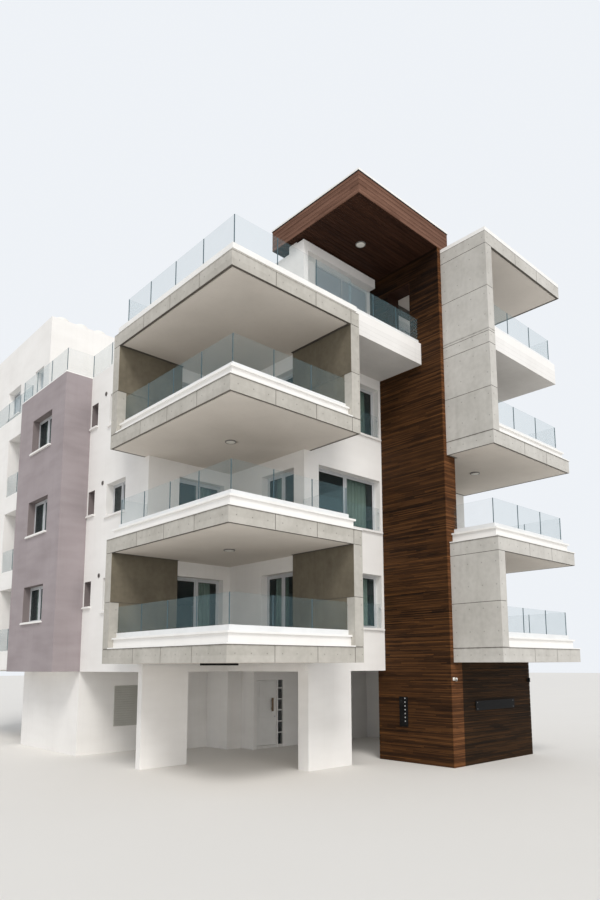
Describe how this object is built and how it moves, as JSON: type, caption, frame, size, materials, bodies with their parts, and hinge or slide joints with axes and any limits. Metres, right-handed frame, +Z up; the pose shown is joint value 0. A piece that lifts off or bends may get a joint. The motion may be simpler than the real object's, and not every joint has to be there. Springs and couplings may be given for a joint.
{
  "type": "apartment block",
  "caption": "Modern apartment block over an open car port, with wrap-round concrete box balconies, glass rails, a timber fin turning over into a canopy and a hinged lobby door.",
  "frame": {"origin": "centre of the block's bounding box in plan, at ground level", "axes": "+X along the street front, left to right as seen from the street; +Y away from the street; +Z up"},
  "size_m": [12.56, 22.63, 17.68],
  "materials": {
    "concrete": "fair-faced, matt, with panel joints and tie holes",
    "render_white": "smooth white render",
    "render_taupe": "smooth taupe-grey render",
    "timber": "dark reddish boards, satin",
    "balcony_glass": "clear toughened glass with a pale blue tint",
    "window_glass": "reflective window glass",
    "aluminium": "satin anodised",
    "coping": "white powder coat",
    "dark_metal": "satin black",
    "floor_stone": "matt floor tiles",
    "lamp": "opal diffuser",
    "tank": "white moulded plastic",
    "steel": "machined",
    "brass": "brushed",
    "door_paint": "white paint"
  },
  "bodies": {
    "block": {"left_lower_box": "concrete", "left_upper_box": "concrete", "right_lower_box": "concrete", "right_upper_box": "concrete", "soffit_panels": "render_white", "balcony_upstands": "render_white", "balcony_copings": "coping", "rail_shoes": "aluminium", "left_balcony_glass": "balcony_glass", "right_balcony_glass": "balcony_glass", "terrace_glass": "balcony_glass", "front_wall": "render_white", "recess_side_wall": "render_white", "recess_rear_wall": "render_white", "side_walls": "render_white", "loggia_walls": "render_white", "rear_wall": "render_white", "right_wall": "render_white", "bay_walls": "render_taupe", "floor_slabs": "floor_stone", "roof_slab": "floor_stone", "terrace_slabs": "render_white", "loggia_slabs": "render_white", "timber_fin": "timber", "timber_canopy": "timber", "canopy_roof": "coping", "sign_wall": "timber", "sign_plaque": "dark_metal", "intercom_panel": "dark_metal", "ceiling_lamps": "lamp", "penthouse_walls": "render_white", "penthouse_roof": "render_white", "roof_tanks": "tank", "ground_columns": "render_white", "store_walls": "render_white", "lobby_walls": "render_white", "lobby_front_walls": "render_white", "lobby_lintel": "render_white", "lobby_floor": "floor_stone", "lobby_door_pivots": "steel", "window_frames": "aluminium", "window_glass": "window_glass", "window_sills": "render_white", "door_frames": "aluminium"},
    "lobby_door": {"lobby_door": "door_paint", "lobby_door_pull": "brass"}
  },
  "joints": [
    {"name": "lobby_door_hinge", "type": "hinge", "parent": "block", "child": "lobby_door", "pos_m": [0.243, -2.08, 1.258], "axis": [0, 0, 1], "range_deg": [0, 90]}
  ]
}
